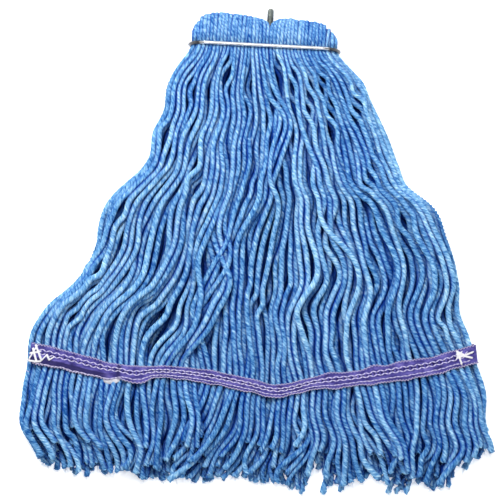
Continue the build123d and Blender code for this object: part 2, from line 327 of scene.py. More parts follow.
class Finish:
    """A material whose nodes are made one call at a time."""

    def __init__(self, name, roughness=0.5, metallic=0.0, **constants):
        self.material = bpy.data.materials.new(name)
        self.material.use_nodes = True
        self.tree = self.material.node_tree
        self.tree.nodes.clear()
        output = self.tree.nodes.new("ShaderNodeOutputMaterial")
        self.shader = self.tree.nodes.new("ShaderNodeBsdfPrincipled")
        self.tree.links.new(self.shader.outputs[0], output.inputs["Surface"])
        self.feed({"Roughness": roughness, "Metallic": metallic, **constants})

    def feed(self, values):
        """Sets or links sockets of the shader."""
        self._fill(self.shader, values)

    def _fill(self, node, values):
        for key, value in values.items():
            if isinstance(value, Signal):
                self.tree.links.new(value.socket, node.inputs[key])
            elif node.inputs[key].type == "RGBA":
                node.inputs[key].default_value = (*value, 1.0)
            else:
                node.inputs[key].default_value = value

    def node(self, kind, settings=None, values=None):
        """Adds a node of that kind with its settings, then its values or links, and gives its outputs."""
        node = self.tree.nodes.new(kind)
        for key, value in (settings or {}).items():
            if key == "stops":
                self._set_stops(node.color_ramp, value)
            else:
                setattr(node, key, value)
        self._fill(node, values or {})
        return [Signal(self, socket) for socket in node.outputs]

    @staticmethod
    def _set_stops(ramp, stops):
        while len(ramp.elements) < len(stops):
            ramp.elements.new(1.0)
        for element, (place, colour) in zip(ramp.elements, stops):
            element.position = place
            element.color = (*colour, 1.0)

    def attribute(self, name):
        """A number that the mesh carries at its points."""
        return self.node("ShaderNodeAttribute", {"attribute_name": name})[2]

    def flat_map(self, name):
        """Two signals from the piece's map of that name: its first and its second coordinate."""
        place = self.node("ShaderNodeUVMap", {"uv_map": name})[0]
        return self.node("ShaderNodeSeparateXYZ", {}, {0: place})[:2]

    def object_place(self):
        """The place on the object in metres, as a vector and as three signals."""
        place = self.node("ShaderNodeTexCoord")[3]
        return place, self.node("ShaderNodeSeparateXYZ", {}, {0: place})

    def noise(self, place, scale=1.0, detail=2.0, roughness=0.5):
        """Cloudy noise over a vector, or over two or three signals."""
        if isinstance(place, tuple):
            place = self.node("ShaderNodeCombineXYZ", {}, dict(enumerate(place)))[0]
        values = {"Vector": place, "Scale": scale, "Detail": detail, "Roughness": roughness}
        return self.node("ShaderNodeTexNoise", {}, values)[0]

    def mix(self, share, first, second):
        """A colour between two, by the share."""
        settings = {"data_type": "RGBA", "clamp_result": False}
        return self.node("ShaderNodeMix", settings, {0: share, 6: first, 7: second})[2]

    def ramp(self, share, stops):
        return self.node("ShaderNodeValToRGB", {"stops": stops}, {0: share})[0]

    def bump(self, height, strength, distance):
        values = {"Height": height, "Strength": strength, "Distance": distance}
        self.feed({"Normal": self.node("ShaderNodeBump", {}, values)[0]})


def scaled(colour, share):
    return tuple(share * channel for channel in colour)


def ripple(place, length):
    """A wave from -1 to 1 of that length, over a signal in metres."""
    return (place * (2 * math.pi / length)).sine()


def yarn_finish(yarn):
    """Four-ply blended yarn with streaks of fine fibre; the plies get a painted highlight on their crests and
    painted shade in their grooves, and the yarn gets painted shade between close strands and under buried
    ones.
    """
    f = Finish("yarn_blue", 0.95, **{
        "Sheen Weight": 0.05, "Sheen Roughness": 0.5, "Sheen Tint": (0.15, 0.45, 1.0),
        "Specular IOR Level": 0.0,
    })
    tone, ply, deep, crease = (f.attribute(name) for name in ("tone", "ply", "deep", "crease"))
    around, along = f.flat_map("strand")
    fibre = f.noise((around * 2300.0 + along * 900.0, along * 430.0, tone * 40.0), 1.0, 3.0, 0.65)
    patch = f.noise((along * 260.0, tone * 90.0, around * 230.0), 1.0, 3.0, 0.6)
    stretch = f.noise((along * 38.0, tone * 170.0, 3.0), 1.0, 1.0)
    # Painted light: the ply mark paints a highlight on each crest and shade in each groove; the noises break
    # it into patches and add fibre mottling, and the tone varies by strand.
    light = ply * patch * 0.44 + (fibre - 0.5) * 2.1 + (tone - 0.5) * 0.30 + (patch - 0.5) * 1.5 + 0.33
    # The ramp runs from painted groove shade through the dye to the crest colour and a painted highlight at
    # its top.
    colour = f.ramp(light.clamped(), [
        (0.0, (0.010, 0.075, 0.27)), (0.34, tuple(yarn.body)), (0.70, tuple(yarn.crest)),
        (1.0, (0.50, 0.74, 0.90)),
    ])
    # Painted shade: a darker line where a close strand lies beside, and darker yarn where strands are buried
    # under others.
    line = crease.between(0.0, 0.82) * stretch.between(0.28, 0.62, 0.5, 1.0)
    colour = f.mix(line * 0.95, colour, tuple(yarn.shade))
    f.feed({"Base Color": f.mix(deep * 0.94, colour, scaled(yarn.shade, 0.55))})
    f.bump(fibre * 0.7 + ply * 0.3, 0.6, 0.0005)
    return f.material


def tape_finish(band):
    """Woven twill tape with needle holes between its seams, darker over its lower part left of the crease,
    and with painted shade along the crease.
    """
    f = Finish("band_purple", 0.85, **{
        "Sheen Weight": 0.05, "Sheen Roughness": 0.5, "Specular IOR Level": 0.1,
    })
    along, across = f.flat_map("tape")
    weave = ripple(across, 0.0011) * ripple(along + across * 0.6, 0.0009) * 0.5 + 0.5
    wear_and_dark_end = f.noise((along * 130.0, across * 260.0), 1.0, 3.0, 0.6)
    hole_along = ((along / band.stitch).fraction() - 0.5).size()
    hole_across = (across - 0.0013).size()
    hole = (1 - hole_along.between(0.16, 0.34)) * (1 - hole_across.between(0.0004, 0.0011))
    # Darker over the lower part of the tape, left of the crease.
    lower_left_darkening = across.between(-0.0020, -0.0030) * (1 - along.between(0.060, 0.072))
    # Painted shade: a dark line along the crease across the tape.
    fold = 1 - (along - 0.0750).size().between(0.0006, 0.0030)
    light = weave * 0.5 + (wear_and_dark_end - 0.5) * 1.9 + 0.22
    dark, pale, pit = scaled(band.tape_colour, 0.30), (0.20, 0.17, 0.50), (0.008, 0.006, 0.05)
    colour = f.ramp(light.clamped(), [(0.0, dark), (0.45, tuple(band.tape_colour)), (1.0, pale)])
    for share in (lower_left_darkening * 0.85, fold * 0.75):
        colour = f.mix(share, colour, dark)
    f.feed({"Base Color": f.mix(hole * 0.9, colour, pit)})
    f.bump(weave, 0.5, 0.0003)
    return f.material


def thread_finish(name, colour):
    """Twisted sewing thread."""
    f = Finish(name, 0.6, **{"Sheen Weight": 0.3})
    around, along = f.flat_map("strand")
    twist = ripple(around + along * 2.2, 0.0012) * 0.5 + 0.5
    soil = f.noise((along * 120.0, around * 200.0))
    f.feed({"Base Color": f.mix((twist * 0.4 + soil * 0.7).clamped(), scaled(colour, 0.55), tuple(colour))})
    f.bump(twist, 0.5, 0.0002)
    return f.material


def cloth_finish():
    """Plain white cotton."""
    f = Finish("tab_white", 0.85)
    along, across = f.flat_map("tape")
    weave = (along * 9000.0).sine() * (across * 9000.0).sine() * 0.5 + 0.5
    soil = f.noise((along * 300.0, across * 300.0), 1.0, 3.0)
    share = (weave * 0.3 + soil * 0.6).clamped()
    f.feed({"Base Color": f.mix(share, (0.40, 0.40, 0.46), (0.80, 0.79, 0.83))})
    f.bump(weave, 0.4, 0.0002)
    return f.material


def zinc_finish(colour):
    """Bright galvanised wire with a faint spangle, and painted shade on the side that lies against the yarn
    and round its end bends.
    """
    f = Finish("wire_zinc", 0.25, 1.0)
    place, parts = f.object_place()
    spangle = f.noise(place, 900.0, 3.0)
    drawn = f.noise(place, 220.0)
    bend, bright = (WIRE_HIGH[2] - 2.6) * MM, (WIRE_HIGH[2] - 1.2) * MM
    # Painted shade: the wire is darkened below a height, on the side against the yarn and round its end
    # bends.
    stain_and_painted_shade = 1 - parts[2].size().between(bend, bright)
    paint = f.mix(drawn.between(0.38, 0.6), scaled(colour, 0.85), tuple(colour))
    f.feed({
        "Base Color": f.mix(stain_and_painted_shade * 0.93, paint, (0.015, 0.017, 0.022)),
        "Roughness": spangle * 0.22 + 0.12,
    })
    return f.material


def steel_finish(name, colour, roughness, dark_end_from=None):
    """Rolled or turned steel, with a near-black end where one is wanted."""
    f = Finish(name, roughness, 0.9)
    place, parts = f.object_place()
    grain = f.noise(place, 1300.0, 4.0, 0.6)
    stain_and_painted_shade = f.noise(place, 160.0)
    share = (grain * 0.4 + stain_and_painted_shade.between(0.35, 0.65) * 0.6).clamped()
    paint = f.mix(share, scaled(colour, 0.35), tuple(colour))
    if dark_end_from is not None:
        # Darker towards the end: from this height on, the colour runs to near-black.
        wear_and_dark_end = parts[1].between(dark_end_from, dark_end_from + 0.002)
        paint = f.mix(wear_and_dark_end, paint, (0.012, 0.012, 0.014))
    f.feed({"Base Color": paint, "Roughness": grain * 0.25 + (roughness - 0.1)})
    f.bump(grain, 0.25, 0.0001)
    return f.material


# ---------------------------------------------------------------- meshes


def ring_quads(count, sides):
    """Point numbers of the quads between rings, and the ring and the side of each of their corners."""
    ring, side = (place.ravel() for place in np.indices((count - 1, sides)))
    at_ring = np.stack([ring, ring, ring + 1, ring + 1], axis=1)
    at_side = np.stack([side, side + 1, side + 1, side], axis=1)
    return at_ring * sides + at_side % sides, at_ring, at_side


class MeshParts:
    """Gathers the points, faces, map and marks of one mesh."""

    def __init__(self):
        self.points, self.loops, self.sizes, self.map = [], [], [], []
        self.marks = {}
        self.count = 0

    def _add_faces(self, faces, flat):
        self.loops.append((faces + self.count).ravel())
        self.sizes.append(np.full(len(faces), faces.shape[1]))
        self.map.append(flat.reshape(-1, 2))

    def add_rings(self, rings, u, v, turned=False, capped=True, **marks):
        """A skin over rings (n, sides, 3) in millimetres, mapped by u and v, with a face on each end."""
        count, sides = rings.shape[:2]
        quads, at_ring, at_side = ring_quads(count, sides)
        u, v = (np.broadcast_to(value, (count, sides + 1)) for value in (u, v))
        flat = np.stack([u[at_ring, at_side], v[at_ring, at_side]], axis=-1)
        way = -1 if turned else 1
        self._add_faces(quads[:, ::way], flat[:, ::way])
        if capped:
            for end in (np.arange(sides)[::-way], (count - 1) * sides + np.arange(sides)[::way]):
                self._add_faces(end[None, :], np.zeros((sides, 2)))
        for name, value in marks.items():
            self.marks.setdefault(name, []).append(value.astype(np.float32))
        self.points.append(rings.reshape(-1, 3))
        self.count += count * sides

    def make(self, name, material, map_name):
        mesh = bpy.data.meshes.new(name)
        loops = np.concatenate(self.loops).astype(np.int32)
        sizes = np.concatenate(self.sizes).astype(np.int32)
        mesh.vertices.add(self.count)
        mesh.vertices.foreach_set("co", (np.concatenate(self.points) * MM).ravel())
        mesh.loops.add(len(loops))
        mesh.loops.foreach_set("vertex_index", loops)
        mesh.polygons.add(len(sizes))
        starts = np.concatenate([[0], np.cumsum(sizes)[:-1]]).astype(np.int32)
        mesh.polygons.foreach_set("loop_start", starts)
        mesh.update(calc_edges=True)
        mesh.shade_smooth()
        flat = mesh.uv_layers.new(name=map_name)
        flat.data.foreach_set("uv", (np.concatenate(self.map) * MM).ravel().astype(np.float32))
        for mark, values in self.marks.items():
            layer = mesh.attributes.new(mark, "FLOAT", "POINT")
            layer.data.foreach_set("value", np.concatenate(values))
        mesh.materials.append(material)
        return add_object(name, mesh)


def add_object(name, data):
    thing = bpy.data.objects.new(name, data)
    bpy.context.scene.collection.objects.link(thing)
    return thing


def settle(piece, body, slot, *stands_for):
    """Ties a piece to its body and hides the CAD nodes that it stands for; its material slot is not used."""
    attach(piece, body)
    if stands_for:
        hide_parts(*stands_for)


def distances(line):
    """How far along the line each of its points is."""
    return np.concatenate([[0], np.cumsum(np.linalg.norm(np.diff(line, axis=0), axis=1))])


def evenly(line, step):
    """The line's points, set out again at an even step, with its corners rounded off."""
    length = distances(line)
    count = max(4, int(round(length[-1] / step)) + 1)
    at = np.linspace(0, length[-1], count)
    return smoothed(np.stack([np.interp(at, length, line[:, i]) for i in range(3)], axis=1), 2)


def directions(line, reference):
    """Unit vectors along the line, and two across it, one as near to the reference as can be."""
    tangent = np.gradient(line, axis=0)
    tangent /= np.linalg.norm(tangent, axis=1, keepdims=True)
    side = np.array(reference) - tangent * (tangent @ np.array(reference))[:, None]
    side /= np.linalg.norm(side, axis=1, keepdims=True)
    return tangent, side, np.cross(tangent, side)


def add_tube(parts, line, radius, sides, reference=(1.0, 0.0, 0.0), turns_per_mm=0.0, groove=0.0,
             start_angle=0.0, jagged=None, flanks=None, **marks):
    """A closed tube along the line, lobed into plies that turn about it."""
    tangent, side, rise = directions(line, reference)
    length = distances(line)
    count = len(line)
    radius = np.broadcast_to(radius, (count,))
    ring_angle = 2 * math.pi * np.arange(sides) / sides
    angle = start_angle - 2 * math.pi * turns_per_mm * length[:, None] + ring_angle[None, :]
    lobe = np.abs(np.sin(PLIES * ring_angle / 2)) ** 0.7
    swell = 1 - np.broadcast_to(groove, (count,))[:, None] * (1 - lobe)
    out = np.cos(angle)[..., None] * side[:, None] + np.sin(angle)[..., None] * rise[:, None]
    rings = line[:, None] + out * (radius[:, None] * swell)[..., None]
    if jagged is not None:
        rings[-2] += tangent[-1] * jagged[:, None]
        rings[-1] += tangent[-1] * (jagged * 0.9)[:, None]
    marks = {name: np.repeat(np.broadcast_to(value, (count,)), sides) for name, value in marks.items()}
    marks["ply"] = np.tile(lobe, count)
    # The crease mark is painted shade on the sides that face a close neighbour.
    if flanks is not None:
        sideways = np.cos(angle)
        close = np.where(sideways < 0, flanks[:, :1], flanks[:, 1:])
        marks["crease"] = (close * np.abs(sideways) ** 1.25).ravel()
    around = np.arange(sides + 1) * (2 * math.pi * radius.mean() / sides)
    parts.add_rings(rings, around, length[:, None], **marks)


def add_thread(parts, line, radius, sides=6):
    """A plain thread that lies on the tape."""
    add_tube(parts, line, radius, sides, reference=(0.0, 0.0, 1.0))


# ---------------------------------------------------------------- how the yarn lies


class YarnLay:
    """Centre lines of every leg of every folded strand, level by level down the mop."""

    LEVEL_STEP, FIRST_LEVEL, LAST_LEVEL = 4.0, 26.0, 394.0
    ROUNDS, PASSES, LATE_ROUNDS, LAST_BENDS = 11, 20, 2, 3
    PUSH, RETURN, RISE, SINK = 0.36, 0.030, 0.035, 0.045  # what one pass does to a leg
    BEND, LATE_BEND, LAST_BEND = 0.42, 0.22, 0.5
    UNDER_WIRE = 0.9  # room between the wire and the outer strands
    GONE = 0.05  # radius of a strand below its cut
    NEAR_X, NEAR_Z = 9.0, 8.0  # legs further apart than this can't touch
    UNDER_TAPE = 0.9  # how far under a tape's face the yarn stays
    TAPE_REACH = 8.5  # the front tape holds the legs down this far above and below its middle
    TAPE_SLOPE, TAPE_FREE = 0.75, 14  # further out they may rise at this slope, up to this height
    ROUND_LEFT, ROUND_RIGHT, ROUND_OVER = -52, 45, 14  # the fold gets lower beyond these
    SPREAD_FROM, SPREAD_OVER = 34, 150  # where the legs leave the order that the bar gives them
    SUNK_SHARE, SUNK_BY = 0.24, 0.24  # so many of the upper legs lie so much lower than their order

    def __init__(self, yarn):
        self.rng = np.random.default_rng(yarn.seed)
        self.columns, self.depths, self.rows = yarn.columns, yarn.depths, 2 * yarn.depths
        self.strand = yarn.strand / MM
        self.column = np.repeat(np.arange(self.columns), self.rows)
        self.row = np.tile(np.arange(self.rows), self.columns)
        self.layer = self.row // 2
        self.depth_y = np.arange(self.FIRST_LEVEL, self.LAST_LEVEL + 1, self.LEVEL_STEP)
        self.count = len(self.column)
        self.girth = np.clip(self.rng.normal(1, 0.055, self.count), 0.88, 1.12)
        inside = (self.row > 2) & (self.row < self.rows - 3)
        self.girth[inside] *= 0.92
        self._set_targets()
        self._clamp()
        self._settle()

    def _set_targets(self):
        """Where each leg would run if nothing pushed it."""
        rng, depth, row, layer = self.rng, self.depth_y, self.row, self.layer
        stagger = np.where(row % 2 == 0, -0.25, 0.25)  # every other row lies over the gaps of the last
        self.clamp_share = (self.column + 0.5 + stagger) / self.columns
        shift = np.where(layer % 2 == 0, -0.2, 0.2)
        tail_share = (2 * self.column + row % 2 + 0.5 + shift) / (2 * self.columns)
        tail_down = layer / (self.depths - 1) + rng.uniform(-0.09, 0.09, self.count)
        sunk = (rng.uniform(0, 1, self.count) < self.SUNK_SHARE) & (layer < 2)
        tail_down = np.clip(tail_down + np.where(sunk, self.SUNK_BY, 0), 0, 1)
        spread = eased((depth - self.SPREAD_FROM) / self.SPREAD_OVER)[:, None]
        share = self.clamp_share * (1 - spread) + tail_share * spread
        down = row / (self.rows - 1) * (1 - spread) + tail_down * spread
        self.left, self.right = (flowing(reach, depth)[:, None] for reach in (LEFT_REACH, RIGHT_REACH))
        self.thickness = flowing(THICKNESS, depth)[:, None]
        base = self.strand * flowing(STRAND_SHARE, depth)
        self.radius = base[:, None] * self.girth[None, :] / 2
        self.floor = (FLOOR + (-FLOOR - PINCH) * (1 - eased((depth - WIRE_DEPTH) / 30)))[:, None]
        self.z = self.floor + self.radius + (1 - down) * (self.thickness - 2 * self.radius)
        low, high = self._sides()
        x = low + share * (high - low)
        top = np.clip(1.15 - 0.28 * layer, 0, 1)[None, :]  # lower layers follow the tresses less
        fan = x.copy()
        for centre, at, half_share, half_length, shift in SWEEPS:
            near = np.exp(-(((tail_share[None, :] - centre) / half_share) ** 2))
            near = near * np.exp(-(((depth[:, None] - at) / half_length) ** 2))
            x = x + top * near * shift
            self.z = self.z + top * near * abs(shift) * 0.10
        for place, at, half_width, half_length, push in GAPS:
            aside = (fan - place) / half_width
            near = np.exp(-(aside**2)) * np.exp(-(((depth[:, None] - at) / half_length) ** 2))
            x = x + top * near * push * np.tanh(3 * aside)
        self.target = x + self._group_waves(fan)
        self.x = self.target.copy()
        self.lift = self._group_lift()
        self.cut = self._cut_depths()
        gone = depth[:, None] > self.cut[None, :] + 2
        self.radius = np.where(gone, self.GONE, self.radius)

    def _cut_depths(self):
        """Depth of each leg's cut end: the lower layers end nearer to the cut line."""
        longest, layer_step, jitter = 38, 30 / self.depths, 5
        cut = flowing(CUT, self.target[-8])
        short = self.rng.uniform(0, 1, self.count) ** 1.5 * (longest - layer_step * self.layer)
        short[self.row >= self.rows - 2] *= 0.6
        return cut - short - self.rng.uniform(0, jitter, self.count)

    def _sides(self):
        """Furthest left and right that each point of each leg can be at its height."""
        half = self.thickness / 2
        off = np.clip(np.abs(self.z - self.floor - half) / half, 0, 1)
        fullness = 1 - 0.25 * eased((self.depth_y - WIRE_DEPTH) / 40)[:, None]
        inset = fullness * half * (1 - np.sqrt(1 - 0.96 * off**2)) + self.radius
        return inset - self.left, self.right - inset

    def _groups(self, low, high):
        """Cuts the columns into neighbouring groups: the group of each leg, and how many there are."""
        group, groups = [], 0
        while len(group) < self.columns:
            group += [groups] * int(self.rng.integers(low, high + 1))
            groups += 1
        return np.array(group[: self.columns])[self.column], groups

    def _single_waves(self, length):
        return np.stack([wave(self.rng, length, self.depth_y) for _ in range(self.count)], axis=1)

    def _group_waves(self, fan):
        """Neighbouring strands keep together and wander as one, and the tips wander by themselves."""
        depth, total = self.depth_y, np.zeros_like(fan)
        grow = eased((depth - self.FIRST_LEVEL) / 110)[:, None]
        for layer in range(self.depths):
            group, groups = self._groups(1, 4)
            for g in range(groups):
                members = (self.layer == layer) & (group == g)
                drift = wave(self.rng, 115, depth) * 4.4 + wave(self.rng, 55, depth) * 1.1
                off_centre = fan[:, members] - fan[:, members].mean(axis=1)[:, None]
                pinch = 0.24 + 0.14 * wave(self.rng, 90, depth)
                total[:, members] += (drift[:, None] - off_centre * pinch[:, None]) * grow
        single = self._single_waves(60) * 1.1
        loose = self._single_waves(70) * 8.0
        return total + single * grow + loose * eased((depth - 320) / 60)[:, None]

    def _group_lift(self):
        """Some tresses lie a little prouder than their neighbours."""
        group, groups = self._groups(2, 4)
        lifts = np.stack([wave(self.rng, 110, self.depth_y) for _ in range(groups)], axis=1)
        return lifts[:, group]

    def _clamp(self):
        """Where each leg passes under the wire, whose ends are round."""
        radius = self.strand * STRAND_SHARE[0][1] / 2
        self.clamp_z = (PINCH - self.UNDER_WIRE - radius) * (1 - 2 * self.row / (self.rows - 1))
        inset = PINCH - np.sqrt(PINCH**2 - self.clamp_z**2) + radius
        low, high = inset - LEFT_REACH[0][1], RIGHT_REACH[0][1] - inset
        self.clamp_x = low + self.clamp_share * (high - low)

    def _tape_limits(self):
        """Lowest and highest place of each point of each leg, between the two tapes."""
        off = np.abs(self.depth_y[:, None] + flowing(TAPE_LINE, self.x))
        rise = np.clip(off - self.TAPE_REACH, 0, 60) * self.TAPE_SLOPE
        ceiling = TAPE_TOP - self.UNDER_TAPE + np.minimum(rise, self.TAPE_FREE)
        floor = np.where(off < 10, FLOOR + self.UNDER_TAPE, FLOOR)
        return floor + self.radius, ceiling - self.radius

    def _neighbours(self):
        """Pairs of legs that come close on some level, as places in the flattened arrays."""
        first, second = [], []
        upper = np.triu(np.ones((self.count, self.count), bool), 1)
        for level, (x, z) in enumerate(zip(self.x, self.z)):
            dx = np.abs(x[:, None] - x[None, :])
            dz = np.abs(z[:, None] - z[None, :])
            near = np.nonzero(upper & (dx < self.NEAR_X) & (dz < self.NEAR_Z))
            first.append(near[0] + level * self.count)
            second.append(near[1] + level * self.count)
        return np.concatenate(first), np.concatenate(second)

    def _slant(self, values):
        """How much a leg's slant narrows it across, at each point."""
        return 1 / np.sqrt(1 + np.gradient(values, self.LEVEL_STEP, axis=0) ** 2).ravel()

    def _settle(self):
        """Strands push each other apart, bend smoothly and sink a little under their weight."""
        size, radius = self.x.size, self.radius.ravel()
        for turn in range(self.ROUNDS):
            first, second = self._neighbours()
            reach = radius[first] + radius[second]
            slants = self._slant(self.x), self._slant(self.z)
            fit_x, fit_z = ((slant[first] + slant[second]) / 2 for slant in slants)
            lowest, highest = self._tape_limits()
            late = turn >= self.ROUNDS - self.LATE_ROUNDS
            for _ in range(self.PASSES):
                flat_x, flat_z = self.x.ravel(), self.z.ravel()
                dx = (flat_x[first] - flat_x[second]) * fit_x
                dz = (flat_z[first] - flat_z[second]) * fit_z
                apart = np.sqrt(dx * dx + dz * dz) + 1e-4
                push = np.maximum(reach - apart, 0) * self.PUSH / apart
                for values, off in ((self.x, push * dx), (self.z, push * dz)):
                    move = np.bincount(first, off, size) - np.bincount(second, off, size)
                    values += move.reshape(values.shape)
                if not late:
                    self.x += (self.target - self.x) * self.RETURN
                    self.z += self.lift * self.RISE - self.SINK
                self._bend_smoothly(self.LATE_BEND if late else self.BEND)
                self.x = np.clip(self.x, *self._sides())
                self.z = np.maximum(np.clip(self.z, lowest, highest), self.floor + self.radius)
        lowest, highest = self._tape_limits()
        for _ in range(self.LAST_BENDS):
            self._bend_smoothly(self.LAST_BEND)
            self.z = np.clip(self.z, lowest, highest)

    def _bend_smoothly(self, share):
        """Takes the short wiggles out of each leg, without straightening its course."""
        off = self.x - self.target
        for values, held in ((off, self.clamp_x - self.target[0]), (self.z, self.clamp_z)):
            for _ in range(2):
                above = np.vstack([held[None, :], values[:-1]])
                below = np.vstack([values[1:], 2 * values[-1:] - values[-2:-1]])
                values += share * ((above + below) / 2 - values)
        self.x = self.target + off

    def closeness(self):
        """Three marks from 0 to 1 for each point, used as painted shade: how buried it is, and how close
        others are on each side.
        """
        beside, layer_height, rim = 4.2, 4.0, 5.0
        cover, flanks = np.zeros_like(self.x), np.zeros((len(self.x), 2, self.count))
        for level, (x, z, r) in enumerate(zip(self.x, self.z, self.radius)):
            dx = x[None, :] - x[:, None]
            dz = z[None, :] - z[:, None]
            whole = r > 2 * self.GONE
            weight = (whole[None, :] & whole[:, None]) * np.exp(-((dx / beside) ** 2))
            layers = np.clip(np.stack([dz, -dz]) / layer_height, 0, 1.4)
            over, under = (weight * layers).sum(axis=2)
            cover[level] = np.minimum.reduce([over, under, (x - x.min()) / rim, (x.max() - x) / rim])
            gap = np.clip(np.abs(dx) - r[None, :] - r[:, None], 0, None)
            near = whole[None, :] * np.exp(-((gap / 2.2) ** 2)) * np.exp(-((dz / 4.5) ** 2))
            flanks[level] = (near * (dx < -1)).max(axis=1), (near * (dx > 1)).max(axis=1)
        # How buried each point is, which darkens it as painted shade.
        buried = np.clip((smoothed(cover, 3) - 0.25) / 1.3, 0, 1)
        return np.concatenate([buried[:, None], smoothed(flanks, 2)], axis=1)

    def fold(self, front, back):
        """The fold of one strand over the bar, from its front leg to its back leg."""
        share = self.row[front] / max(1, self.depths - 1)
        radius = self.strand * STRAND_SHARE[0][1] / 2
        front_x, back_x = self.clamp_x[front], self.clamp_x[back]
        middle = (front_x + back_x) / 2
        apex = flowing(CROWN, middle) - radius + self.rng.normal(0, 0.25)
        past = max(self.ROUND_LEFT - middle, middle - self.ROUND_RIGHT)
        share = share * (1 - 0.55 * np.clip(past / self.ROUND_OVER, 0, 1))
        inner_rise, inner_reach = BAR_HIGH[1] - BAR_Y + radius, BAR_HIGH[2] + radius
        outer_reach = WIRE_HIGH[2] - radius - self.UNDER_WIRE
        reach = outer_reach + (inner_reach - outer_reach) * share
        rise = min((apex - BAR_Y) * (1 - share) + inner_rise * share, apex - BAR_Y)
        turn = np.linspace(0, math.pi, 19)
        lean = self.rng.normal(0, 0.35)
        x = front_x + (back_x - front_x) * turn / math.pi + lean * np.sin(turn)
        y = BAR_Y + rise * np.sin(turn)
        z = reach * np.cos(turn)
        return np.stack([self._past_stud(x, z, share, radius), y, z], axis=1)

    @staticmethod
    def _past_stud(x, z, share, radius):
        """Pushes a strand aside where the stud, or lower down its washer, is in the way."""
        room, spread = 3.2, 18.0
        hole = (WASHER_RADIUS if share > 0.6 else room) + radius
        aside = np.sign(x + 1e-3) * (hole + np.abs(x) * (spread - hole) / spread)
        near = np.exp(-((z / 7.5) ** 2)) * (np.abs(x) < spread)
        return x + (aside - x) * near


def leg_lines(lay):
    """Lines in millimetres: the fold with its front leg, and the back leg, for every folded strand."""
    closeness = lay.closeness()
    levels = np.stack([lay.x, np.broadcast_to(-lay.depth_y[:, None], lay.x.shape), lay.z], axis=2)
    for column in range(lay.columns):
        for depth in range(lay.depths):
            front = column * lay.rows + depth
            back = column * lay.rows + lay.rows - 1 - depth
            front_clamp = np.array([[lay.clamp_x[front], WIRE_FRONT_Y, lay.clamp_z[front]]])
            back_clamp = np.array([[lay.clamp_x[back], WIRE_BACK_Y, lay.clamp_z[back]]])
            back_start = levels[0:1, back] * 0.25 + back_clamp * 0.75
            fold = np.vstack([back_start, back_clamp, lay.fold(front, back)[::-1], front_clamp])
            for leg, start in ((front, fold), (back, back_clamp)):
                yield leg, column, depth, start, levels[:, leg], closeness[:, :, leg]


def point_at(line, index, depth, least=0.05):
    """The point at that depth, just before the line's point of that number."""
    before, after = line[index - 1], line[index]
    share = (depth + before[1]) / max(before[1] - after[1], 1e-6)
    return before + (after - before) * np.clip(share, least, 1)


def cut_line(line, marks, depth):
    """The line as far as that depth, with its last point put exactly there."""
    inside = -line[:, 1] < depth
    inside[:2] = True
    last = int(np.argmin(inside)) if not inside.all() else len(line) - 1
    last = max(last, 2)
    return np.vstack([line[:last], point_at(line, last, depth)]), marks[: last + 1]


def rest_of_line(line, marks, depth):
    """The line from that depth on."""
    start = int(np.argmax(-line[:, 1] > depth))
    begin = point_at(line, start, depth, least=0.0)
    return np.vstack([begin, line[start:]]), marks[start - 1:]


def add_fibres(parts, rng, foot, direction, tone):
    """Thin loose fibres that stand out of a cut end."""
    count, length, radius = 8, 3.6, 0.15
    t = np.linspace(0, 1, 4)[:, None]
    for _ in range(count):
        way = direction + rng.normal(0, 0.6, 3)
        way /= np.linalg.norm(way)
        bend = rng.normal(0, 0.35, 3)
        reach = length * rng.uniform(0.5, 1.1)
        line = foot + rng.normal(0, 0.9, 3) + way * reach * t + bend * reach * t * t
        line[:, 2] = np.maximum(line[:, 2], FLOOR + 0.2)
        whole = line[-1] - line[0]
        reference = (0.0, 0.0, 1.0) if abs(whole[0]) > abs(whole[2]) else (1.0, 0.0, 0.0)
        thin = radius * (1 - 0.7 * t[:, 0])
        add_tube(parts, line, thin, 3, reference, tone=tone, deep=0.0, crease=0.0)


def add_strand(parts, rng, raw, raw_marks, step, girth, sides, groove, tone, is_end, **twist):
    """One strand, thinner under the wire and over the bar; a cut end flares and frays."""
    even = evenly(raw, step)
    at = distances(raw)
    along = np.linspace(0, at[-1], len(even))
    close = np.stack([np.interp(along, at, column) for column in raw_marks.T], axis=1)
    loft = eased((even[:, 1] - WIRE_FRONT_Y - WIRE_RADIUS) / 8)
    radius = girth * (flowing(STRAND_SHARE, -even[:, 1]) * (1 - loft) + FOLD_SHARE * loft)
    jagged = None
    if is_end:
        flare_length, swell, rounding, opening = 5, 0.26, 0.78, 1.6
        flare = eased((along - at[-1]) / flare_length + 1)
        radius = radius * (1 + swell * flare)
        radius = np.append(radius, radius[-1] * rounding)
        groove = groove * (1 + opening * np.append(flare, flare[-1]))
        even = np.vstack([even, even[-1] + (even[-1] - even[-2]) * 0.3])
        close = np.vstack([close, close[-1]])
        jagged = np.repeat(rng.normal(0, 0.9, PLIES), sides // PLIES)
        # Painted shade: the strands below the band are darker in tone.
        tone -= FRINGE_PAINTED_SHADE
    add_tube(parts, even, radius, sides, groove=groove, jagged=jagged, flanks=close[:, 1:],
             deep=close[:, 0], tone=tone, **twist)
    return even


